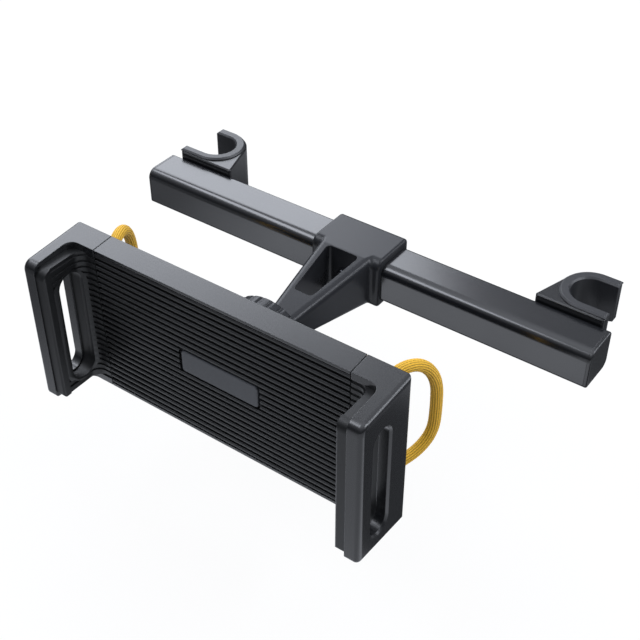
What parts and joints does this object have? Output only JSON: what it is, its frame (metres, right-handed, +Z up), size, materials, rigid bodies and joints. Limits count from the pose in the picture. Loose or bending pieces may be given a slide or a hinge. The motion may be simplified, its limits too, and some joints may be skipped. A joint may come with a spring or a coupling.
{
  "type": "headrest tablet mount",
  "caption": "Crossbar with sprung hooks for a car headrest's posts, and a windowed arm with a ball joint that carries a sprung, ribbed tablet holder.",
  "frame": {"origin": "midway between the two headrest post axes, at mid height of the crossbar", "axes": "+X along the crossbar, +Y towards the headrest, +Z up along the posts"},
  "size_m": [0.1872, 0.1257, 0.0592],
  "materials": {
    "moulded_plastic": "fine spark-eroded satin texture",
    "inner_plastic": "plain moulded",
    "seat_nylon": "smooth moulded",
    "bar_paint": "satin powder coat",
    "soft_rubber": "matt moulded",
    "screw_steel": "black oxide",
    "spring_steel": "bright drawn wire",
    "cord_braid": "woven sheath with lengthwise ribs"
  },
  "bodies": {
    "root": {"crossbar": "bar_paint", "bar_core": "inner_plastic", "end_cap_left": "moulded_plastic", "end_cap_right": "moulded_plastic", "centre_bracket": "moulded_plastic", "bracket_screw": "screw_steel", "hook_spring_left": "spring_steel", "hook_spring_right": "spring_steel"},
    "stud_body": {"ball_stud": "screw_steel", "stud_screw": "screw_steel"},
    "seat_body": {"ball_seat": "seat_nylon"},
    "holder_body": {"ball_socket": "moulded_plastic", "socket_screws": "screw_steel", "holder_housing": "moulded_plastic", "back_cover": "moulded_plastic", "cover_screws": "screw_steel", "ribbed_pad": "soft_rubber", "badge_plate": "moulded_plastic", "jaw_spring_left": "spring_steel", "jaw_spring_right": "spring_steel"},
    "nut_body": {"lock_nut": "moulded_plastic"},
    "hook_body_left": {"hook_left": "moulded_plastic", "hook_liner_left": "soft_rubber", "hook_carrier_left": "inner_plastic", "hook_screw_left": "screw_steel"},
    "jaw_body_left": {"jaw_left": "moulded_plastic", "jaw_liner_left": "soft_rubber", "jaw_rails_left": "spring_steel", "rail_screws_left": "screw_steel", "cord_loop_left": "cord_braid"},
    "hook_body_right": {"hook_right": "moulded_plastic", "hook_liner_right": "soft_rubber", "hook_carrier_right": "inner_plastic", "hook_screw_right": "screw_steel"},
    "jaw_body_right": {"jaw_right": "moulded_plastic", "jaw_liner_right": "soft_rubber", "jaw_rails_right": "spring_steel", "rail_screws_right": "screw_steel", "cord_loop_right": "cord_braid"}
  },
  "joints": [
    {"name": "holder_spin", "type": "hinge", "parent": "root", "child": "stud_body", "pos_m": [0, -0.0783, 0], "axis": [0, 1, 0], "continuous": true},
    {"name": "holder_pan", "type": "hinge", "parent": "stud_body", "child": "seat_body", "pos_m": [0, -0.0783, 0], "axis": [0, 0, 1], "range_deg": [-20, 20]},
    {"name": "holder_tilt", "type": "hinge", "parent": "seat_body", "child": "holder_body", "pos_m": [0, -0.0783, 0], "axis": [1, 0, 0], "range_deg": [-20, 20]},
    {"name": "lock_nut_turn", "type": "hinge", "parent": "holder_body", "child": "nut_body", "pos_m": [0, -0.0783, 0], "axis": [0, 1, 0], "range_deg": [0, 360]},
    {"name": "jaw_slide_left", "type": "slide", "parent": "holder_body", "child": "jaw_body_left", "axis": [-1, 0, 0], "range_m": [0, 0.04], "stiffness_N_per_m": 90, "springref_m": -0.02, "deforming": ["jaw_spring_left"]},
    {"name": "hook_slide_left", "type": "slide", "parent": "root", "child": "hook_body_left", "axis": [1, 0, 0], "range_m": [0, 0.026], "stiffness_N_per_m": 180, "springref_m": -0.02, "deforming": ["hook_spring_left"]},
    {"name": "jaw_slide_right", "type": "slide", "parent": "holder_body", "child": "jaw_body_right", "axis": [1, 0, 0], "range_m": [0, 0.04], "stiffness_N_per_m": 90, "springref_m": -0.02, "deforming": ["jaw_spring_right"]},
    {"name": "hook_slide_right", "type": "slide", "parent": "root", "child": "hook_body_right", "axis": [-1, 0, 0], "range_m": [0, 0.026], "stiffness_N_per_m": 180, "springref_m": -0.02, "deforming": ["hook_spring_right"]}
  ]
}
